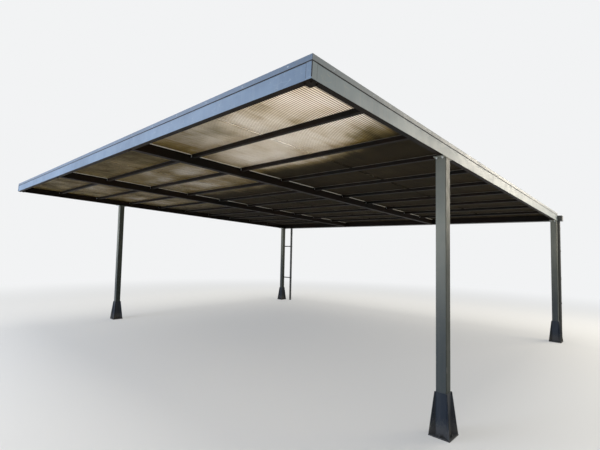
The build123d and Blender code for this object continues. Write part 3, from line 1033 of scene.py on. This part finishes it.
@dataclass
class RoofSheets(SubAssembly):
    """The translucent sheets and the profiles that carry and join them."""

    joint_gap: float = 8 * MM
    rib_pitch: float = 24 * MM
    edge_inset: float = 6 * MM
    joiner_cover: float = 0.25
    cap_top: float = 124 * MM
    cap_screw_spacing: float = 0.36
    screw: Fastener = Fastener(8.0, 4.5, 15.0, 2.0, taper=0.94)
    # The left, middle and right bay: the right one is cleanest and painted brightest, its rear painted deep
    # shade
    films: tuple[ShadeAndDirtFilm, ShadeAndDirtFilm, ShadeAndDirtFilm] = (
        ShadeAndDirtFilm(clearest=0.44, at_front=0.3, clear_from=0.9, darkening_from=2.4, darkening_at=4.6, far_down=0.2),
        ShadeAndDirtFilm(clearest=0.54, at_front=0.3, clear_from=1.2, darkening_from=1.9, darkening_at=2.8, far_down=0.28),
        ShadeAndDirtFilm(
            clearest=1.0, at_front=0.1, clear_from=2.2, darkening_from=2.4, darkening_at=3.15, far_down=0.14,
            skew=0.45, shade_from=1.3, shade_at=1.95,
        ),
    )

    def build(self) -> None:
        """Gives each sheet its ribs and tint, and the profiles their finishes."""
        joiners = self.nodes["sheet_joiners"].data
        joiners.materials.clear()
        for number, (left, right) in enumerate(self.sheet_edges(), 1):
            ribs = int((right - left) / self.rib_pitch)
            first = left + ((right - left) - (ribs - 1) * self.rib_pitch) / 2
            look = (first, self.roof.front_y, self.films[(number - 1) // 2])
            sheet = self.nodes[f"roof_sheet_{number}"].data.materials
            sheet.clear()
            sheet.append(TwinWallSheet(f"twin_wall_polycarbonate_{number}", *look).build())
            if number % 2:
                joiner = TwinWallSheet(f"polycarbonate_joiner_{number}", *look, cover=self.joiner_cover)
                joiners.materials.append(joiner.build())
        # Each joiner is thin clear plastic, so it shows the look of the sheets that it joins
        for face in joiners.polygons:
            face.material_index = sum(face.center.x > beam for beam in self.roof.beams)
        self.dress(Finish.BRONZE, "glazing_bars", "rear_sheet_closure")
        self.dress(Finish.TAPE, "sealing_tapes")
        self.dress(Finish.STRIP, "bearing_strips")
        self.cap_screws()

    def sheet_edges(self) -> list[tuple[float, float]]:
        """Gives the left and right edge of every sheet.

        Returns:
            Six pairs, from left to right.
        """
        half = self.roof.half_width
        joints = [number * half / 3 - half for number in range(1, 6)]
        lefts = [self.edge_inset - half, *(joint + self.joint_gap / 2 for joint in joints)]
        rights = [*(joint - self.joint_gap / 2 for joint in joints), half - self.edge_inset]
        return list(zip(lefts, rights, strict=True))

    def cap_screws(self) -> None:
        """Puts a self-drilling screw in each bar cap every 360 mm."""
        count = round(self.roof.length / self.cap_screw_spacing)
        places = [
            (self.roof.at(beam, step * self.cap_screw_spacing, self.cap_top), self.roof.upright)
            for beam, step in product(self.roof.beams, range(1, count))
        ]
        self.fasten("cap_screws", self.screw, Finish.ZINC, Slot.ALUMINIUM, places)


@dataclass
class Flashing(SubAssembly):
    """The folded cover along the roof's edges, its strip of painted shadow under the lip, corner beads,
    rivets and screws.
    """

    side_end: float = 7.215
    foot: float = 114 * MM
    outer: float = 2 * MM
    top: float = 0.15
    # The strip that paints the shadow under the flashing's lip: how high it is and how far it stands out
    shadow_strip_height: float = 8 * MM
    shadow_strip_depth: float = 1.4 * MM
    cover_leg: float = 45 * MM
    cover_wall: float = 1.5 * MM
    bead_width: float = 3 * MM
    bead_proud: float = 0.4 * MM
    bead_start: float = 9 * MM
    rivet_height: float = 131 * MM
    rivet_spacing: float = 0.45
    front_rivets: int = 17
    side_rivets: int = 16
    side_rivet_start: float = 0.2
    screw_spacing: float = 0.3
    side_screws: int = 23
    side_screw_start: float = 0.33
    screw_inset: float = 30 * MM
    rivet: Fastener = Fastener(8.0, 1.1, 9.0, 0.3, sides=12, taper=0.45)
    screw: Fastener = Fastener(8.0, 4.0, 15.0, 1.6, taper=0.94)

    def build(self) -> None:
        """Coats the flashing, painted sunlit on the right, and adds the painted shadow under its lip, beads
        and fixings.
        """
        self.dress(Finish.FLASHING, "front_flashing", "left_flashing")
        self.dress(Finish.CHALKED_FLASHING, "right_flashing")
        self.painted_shadow_strip()
        self.corner_beads()
        self.rivets()
        self.top_screws()

    def painted_shadow_strip(self) -> None:
        """Lays a dark rubber strip under the lip of the flashing, as painted shadow: the line the lip's
        shade draws.
        """
        half, low, proud = self.roof.half_width, self.foot - self.shadow_strip_height, self.shadow_strip_depth
        outline = ((0.0, low), (0.0, self.foot), (proud, self.foot), (proud, low))
        corners = ((-half, self.side_end, 0), (-half, 0.0, -1), (half, 0.0, -1), (half, self.side_end, 0))
        rings = [
            [self.roof.at(x + math.copysign(depth, x), down + forward * depth, up) for depth, up in outline]
            for x, down, forward in corners
        ]
        keep(skinned_piece("painted_shadow_strip", [rings], self.finishes[Finish.RUBBER]))

    def corner_beads(self) -> None:
        """Runs a bead of sealant up the front corners and along the edges of their covers."""
        # The roof leans, so a bead that starts 9 mm up stays behind the lower edge of the cover
        ends = (self.bead_start, self.foot - self.shadow_strip_height)
        wide, proud, leg = self.bead_width, self.bead_proud, self.cover_leg
        shell = self.cover_wall + proud
        runs = []
        for hand in HANDS:
            x = hand * self.roof.half_width
            out, inner, edge = x + hand * shell, x - hand * wide, x - hand * leg
            cover, far = x + hand * self.cover_wall, edge - hand * wide
            for outline in (
                [(out, -shell), (out, wide), (x, wide), (x, 0.0), (inner, 0.0), (inner, -shell)],
                [(far, 0.0), (far, -proud), (edge, -self.cover_wall), (edge, 0.0)],
                [(x, leg), (cover, leg), (x + hand * proud, leg + wide), (x, leg + wide)],
            ):
                ring = outline[::hand]
                runs.append([[self.roof.at(place, down, up) for place, down in ring] for up in ends])
        keep(skinned_piece("corner_beads", runs, self.finishes[Finish.RUBBER]))

    def rivets(self) -> None:
        """Rivets the legs of the flashing to the fascia, every 450 mm."""
        roof, up, spacing = self.roof, self.rivet_height, self.rivet_spacing
        places = [
            (roof.at((step - (self.front_rivets - 1) / 2) * spacing, -self.outer, up), -roof.downhill)
            for step in range(self.front_rivets)
        ]
        x = roof.half_width + self.outer
        places += [
            (roof.at(hand * x, self.side_rivet_start + step * spacing, up), roof.across * hand)
            for hand, step in product(HANDS, range(self.side_rivets))
        ]
        self.fasten("flashing_rivets", self.rivet, Finish.MILL_ALUMINIUM, Slot.FLASHING, places)

    def top_screws(self) -> None:
        """Screws the side flashings down every 300 mm."""
        roof = self.roof
        x = roof.half_width - self.screw_inset
        places = [
            (roof.at(hand * x, self.side_screw_start + step * self.screw_spacing, self.top), roof.upright)
            for hand, step in product(HANDS, range(self.side_screws))
        ]
        self.fasten("flashing_screws", self.screw, Finish.MILL_ALUMINIUM, Slot.FLASHING, places)


@dataclass
class Posts(SubAssembly):
    """The four posts with their head plates, feet, welds and bolts."""

    post_width: float = 0.1
    downs: tuple[float, float] = (1.95, 7.15)
    head_plate: float = 8 * MM
    head_bolt_across: float = 28 * MM
    head_bolt_down: float = 75 * MM
    plate_top: float = 10 * MM
    foot_height: float = 0.39
    sleeve_half: float = 54 * MM
    fin_half: float = 4 * MM
    sleeve_corner_reach: float = 71.5 * MM
    fin_low_reach: float = 135.8 * MM
    anchor_radius: float = 78 * MM
    # Height and reach of the screws beside the post in every fin
    fin_screw_places: tuple[tuple[float, float], ...] = ((0.075, 0.099), (0.15, 0.096), (0.2, 0.093))
    fin_weld_stop: float = 4 * MM
    sleeve_weld_stop: float = 6 * MM
    head_bead: float = 7 * MM
    head_bolt: Fastener = Fastener(17.0, 7.0, 24.0, 2.2, taper=0.96, shank_diameter=10.0, shank_length=13.0)
    anchor: Fastener = Fastener(19.0, 10.0, 24.0, 2.5, taper=0.97, shank_diameter=12.0, shank_length=24.0)
    fin_screw: Fastener = Fastener(8.5, 3.2, 11.0, 1.0, sides=10, taper=0.65)

    def build(self) -> None:
        """Gives posts and feet their paints, and bolts and welds them."""
        for name in (f"{end}_{hand}" for end in ("front", "rear") for hand in ("left", "right")):
            self.dress(Finish.POST, f"{name}_post")
            self.dress(Finish.FOOT, f"{name}_foot")
        self.head_bolts()
        self.anchors()
        self.fin_screws()
        self.foot_welds()
        self.head_welds()

    @property
    def middle(self) -> float:
        """How far out from the roof's middle the posts stand."""
        return self.roof.half_width - self.post_width / 2

    def centres(self) -> list[Vector]:
        """Gives the middle of every post on the floor.

        Returns:
            Four points: front left, front right, rear left and rear right.
        """
        lines = [self.roof.at(0, down, -self.head_plate).y for down in self.downs]
        return [Vector((hand * self.middle, y, 0)) for y, hand in product(lines, HANDS)]

    def head_bolts(self) -> None:
        """Bolts every head plate to the edge beam from below."""
        roof, across, along = self.roof, self.head_bolt_across, self.head_bolt_down
        middle, up = self.middle, -self.head_plate
        places = [
            (roof.at(hand * middle + step * across, down + side * along, up), -roof.upright)
            for down, hand, side, step in product(self.downs, HANDS, HANDS, HANDS)
        ]
        self.fasten("head_bolts", self.head_bolt, Finish.ZINC, Slot.POST, places)

    def anchors(self) -> None:
        """Puts a nut and washer on the four anchor studs of every base plate."""
        places = [
            (centre + round_the_post(quarter)[0] * self.anchor_radius + UP * self.plate_top, UP)
            for centre, quarter in product(self.centres(), range(4))
        ]
        self.fasten("anchor_nuts", self.anchor, Finish.FOOT, Slot.FOOT, places)

    def fin_screws(self) -> None:
        """Puts three small screws on both sides of every fin."""
        places: list[Place] = []
        for centre, quarter in product(self.centres(), range(4)):
            out, side = round_the_post(quarter + 0.5)
            for (height, reach), hand in product(self.fin_screw_places, HANDS):
                place = centre + out * reach + side * hand * self.fin_half + UP * height
                places.append((place, side * hand))
        self.fasten("fin_screws", self.fin_screw, Finish.FOOT, Slot.FOOT, places)

    def foot_welds(self) -> None:
        """Lays the beads between fins, sleeves and base plates."""
        runs: list[Place] = []
        for centre, quarter in product(self.centres(), range(4)):
            out, side = round_the_post(quarter + 0.5)
            for hand in HANDS:
                foot = centre + side * hand * self.fin_half + UP * self.plate_top
                inner = foot + out * self.sleeve_corner_reach
                rise = self.foot_height - self.sleeve_weld_stop - self.plate_top
                runs.append((inner, foot + out * (self.fin_low_reach - self.fin_weld_stop)))
                runs.append((inner, inner + UP * rise))
            across, level = round_the_post(quarter)
            along = level * (self.sleeve_half - self.sleeve_weld_stop)
            base = centre + across * self.sleeve_half + UP * self.plate_top
            runs.append((base - along, base + along))
        WeldSeam("foot_welds", self.finishes[Finish.FOOT], Slot.FOOT, runs).build()

    def head_welds(self) -> None:
        """Lays the bead between each post and its head plate."""
        half = self.post_width / 2
        ring = [(-half, -half), (half, -half), (half, half), (-half, half)]
        runs: list[Place] = []
        for down, hand in product(self.downs, HANDS):
            corners = [
                self.roof.at(hand * self.middle + across, down + along, -self.head_plate)
                for across, along in ring
            ]
            runs += zip(corners, corners[1:] + corners[:1], strict=True)
        WeldSeam("head_welds", self.finishes[Finish.POST], Slot.POST, runs, bead=self.head_bead).build()


@dataclass
class RainGoods(SubAssembly):
    """The rear gutter with its brackets, and the two downpipes."""

    pipe_places: tuple[float, float] = (-3.5, 3.8)
    pipe_down: float = 7.2845
    pipe_radius: float = 32.5 * MM
    collar_gap: float = 0.1 * MM
    collar_wall: float = 2.5 * MM
    collar_height: float = 55 * MM
    collar_lip: float = 1.4 * MM
    collar_band: float = 4 * MM
    collar_slope: float = 2 * MM
    collar_sides: int = 28
    collar_places: tuple[float, float] = (1.16, 2.12)
    screw_pairs: int = 13
    screw_spacing: float = 0.6
    screw_heights: tuple[float, float] = (30 * MM, 80 * MM)
    gutter_wall: float = 3 * MM
    screw: Fastener = Fastener(7.0, 3.5, 11.0, 1.0, taper=0.9)

    def build(self) -> None:
        """Gives the gutter and the pipes their coat, and adds collars and screws."""
        parts = [f"gutter_{part}" for part in ("back", "floor", "front", "ends", "outlets", "brackets")]
        self.dress(Finish.GUTTER, *parts, "left_downpipe", "right_downpipe", "pipe_clips")
        self.collars()
        self.gutter_screws()

    def collars(self) -> None:
        """Makes the swaged sleeves where two lengths of pipe meet, with a lip round the top."""
        wall, top, slope = self.collar_wall, self.collar_height, self.collar_slope
        lip = wall + self.collar_lip
        profile = (
            (self.collar_gap, 0.0),
            (wall, 0.0),
            (wall, top - self.collar_band - 2 * slope),
            (lip, top - self.collar_band - slope),
            (lip, top - slope),
            (wall, top),
            (self.collar_gap, top),
        )
        ways = [round_the_post(4 * step / self.collar_sides)[0] for step in range(self.collar_sides)]
        runs = []
        for x, bottom in product(self.pipe_places, self.collar_places):
            pipe = self.roof.at(x, self.pipe_down, 0.0)
            foot = Vector((pipe.x, pipe.y, bottom))
            radii = [(self.pipe_radius + reach, rise) for reach, rise in profile]
            runs.append([[foot + out * radius + UP * rise for out in ways] for radius, rise in radii])
        keep(skinned_piece("pipe_collars", runs, self.finishes[Finish.GUTTER], looped=True))

    def gutter_screws(self) -> None:
        """Screws the gutter's back to the rear beam, in pairs one above the other, every 600 mm."""
        roof, middle = self.roof, (self.screw_pairs - 1) / 2
        down = roof.length + self.gutter_wall
        places = [
            (roof.at((pair - middle) * self.screw_spacing, down, up), roof.downhill)
            for pair, up in product(range(self.screw_pairs), self.screw_heights)
        ]
        self.fasten("gutter_screws", self.screw, Finish.ZINC, Slot.GUTTER, places)


# The stage


@dataclass(frozen=True)
class Lamp:
    """A soft square lamp: where it hangs, what it points at, its width, its watts and its colour."""

    name: str
    place: tuple[float, float, float]
    target: tuple[float, float, float]
    size: float
    power: float
    tone: str

    def build(self) -> None:
        """Hangs the lamp."""
        data = bpy.data.lights.new(self.name, "AREA")
        data.shape = "SQUARE"
        data.size = self.size
        data.energy = self.power
        data.color = colour(self.tone)[:3]
        lamp = bpy.data.objects.new(self.name, data)
        lamp.location = self.place
        lamp.rotation_euler = (Vector(self.target) - Vector(self.place)).to_track_quat("-Z", "Y").to_euler()
        bpy.context.scene.collection.objects.link(lamp)


LAMPS = (
    Lamp("front_soft_light", (-3.5, -11.0, 3.4), (1.0, -2.0, 1.8), 6.0, 800.0, "#dde8ff"),
    Lamp("right_soft_light", (9.0, 5.5, 4.8), (3.8, 2.0, 2.6), 3.0, 200.0, "#fff0d8"),
    Lamp("rear_right_light", (6.6, 7.0, 3.8), (3.9, 3.2, 2.7), 2.2, 150.0, "#fff4e0"),
    Lamp("top_soft_light", (0.5, -1.0, 9.5), (0.5, -0.5, 2.6), 8.0, 880.0, "#fff8ee"),
    Lamp("back_left_light", (-5.5, 5.5, 8.0), (2.4, -2.6, 2.7), 6.0, 220.0, "#fff2dc"),
)


@dataclass
class Studio:
    """A pale floor that fades into the background, soft lamps and the camera."""

    floor_half: float = 60.0
    floor_tone: str = "#dcdcd8"
    backdrop: str = "#f2f3f4"
    world_tone: str = "#e8eef6"
    world_strength: float = 0.4
    fade_start: float = 4.5
    fade_end: float = 14.0
    floor_glow: float = 0.35
    focal_px: float = 382.005
    frame_px: float = 600.0
    sensor_mm: float = 36.0
    sight: float = 300.0
    eye: tuple[float, float, float] = (5.23759, -5.25174, 1.68414)
    yaw: float = 0.75622
    pitch: float = 0.05894
    roll: float = 0.02032

    def build(self) -> None:
        """Builds the stage, the lamps and the camera."""
        self.floor()
        self.world()
        for lamp in LAMPS:
            lamp.build()
        self.camera()

    @staticmethod
    def seen(node: NodeAdder) -> Node:
        """Adds the share of rays that look at the background, and don't light the carport.

        Args:
            node: What adds a node to the tree.

        Returns:
            A node that gives 1 for camera, mirror and see-through rays.
        """
        rays = node("LightPath").outputs
        mirrored = node("Math", rays["Is Camera Ray"], rays["Is Glossy Ray"], operation="MAXIMUM")
        return node("Math", mirrored, rays["Is Transmission Ray"], operation="MAXIMUM")

    def floor(self) -> None:
        """Lays the floor, which keeps the shadow and glows a little with the backdrop further out."""
        material, node = new_material("matt_studio_floor")
        place = node("TexCoord").outputs["Object"]
        reach = node("VectorMath", place, operation="LENGTH")
        limits = (self.fade_start, self.fade_end, self.floor_glow)
        far = node("MapRange", reach, *limits, interpolation_type="SMOOTHSTEP")
        share = node("Math", far, self.seen(node), operation="MULTIPLY")
        grain = node("TexNoise", place, 60.0, 4.0)
        relief = node("Bump", Height=grain, Strength=0.04, Distance=1 * MM)
        matt = node("BsdfPrincipled", Base_Color=colour(self.floor_tone), Roughness=0.85, Normal=relief)
        glow = node("Emission", Color=colour(self.backdrop), Strength=1.0)
        node("OutputMaterial", Surface=node("MixShader", share, matt, glow))
        half = self.floor_half
        corners = [(-half, -half, 0), (half, -half, 0), (half, half, 0), (-half, half, 0)]
        mesh_piece("studio_floor", corners, [(0, 1, 2, 3)], material)

    def world(self) -> None:
        """Sets the soft light from all round, and the pale background."""
        world = bpy.data.worlds.new("soft_box")
        bpy.context.scene.world = world
        world.use_nodes = True
        world.node_tree.nodes.clear()
        node = partial(add_node, world.node_tree)
        light = node("Background", Color=colour(self.world_tone), Strength=self.world_strength)
        backdrop = node("Background", Color=colour(self.backdrop), Strength=1.0)
        node("OutputWorld", Surface=node("MixShader", self.seen(node), light, backdrop))

    def camera(self) -> None:
        """Sets the camera where the photograph was taken."""
        data = bpy.data.cameras.new("camera")
        data.sensor_fit = "HORIZONTAL"
        data.sensor_width = self.sensor_mm
        data.lens = self.sensor_mm * self.focal_px / self.frame_px
        data.clip_end = self.sight
        place = Matrix.Translation(self.eye)
        for angle, axis in ((self.yaw, "Z"), (math.pi / 2 + self.pitch, "X"), (self.roll, "Z")):
            place @= Matrix.Rotation(angle, 4, axis)
        camera = bpy.data.objects.new("camera", data)
        camera.matrix_world = place
        bpy.context.scene.collection.objects.link(camera)
        bpy.context.scene.camera = camera


def main() -> None:
    """Builds the whole scene, one sub-assembly after another."""
    bpy.context.scene.view_settings.view_transform = "Standard"
    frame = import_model()
    nodes = frame["nodes"]
    low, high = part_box("front_edge_beam")
    roof = Roof(front_y=low.y, half_width=high.x)
    finishes = {finish: finish.value.build() for finish in Finish}
    for assembly in (RoofFrame, RoofSheets, Flashing, Posts, RainGoods):
        log.info("%s", assembly.__name__)
        assembly(roof, nodes, finishes).build()
    Studio().build()


if __name__ == "__main__":
    main()
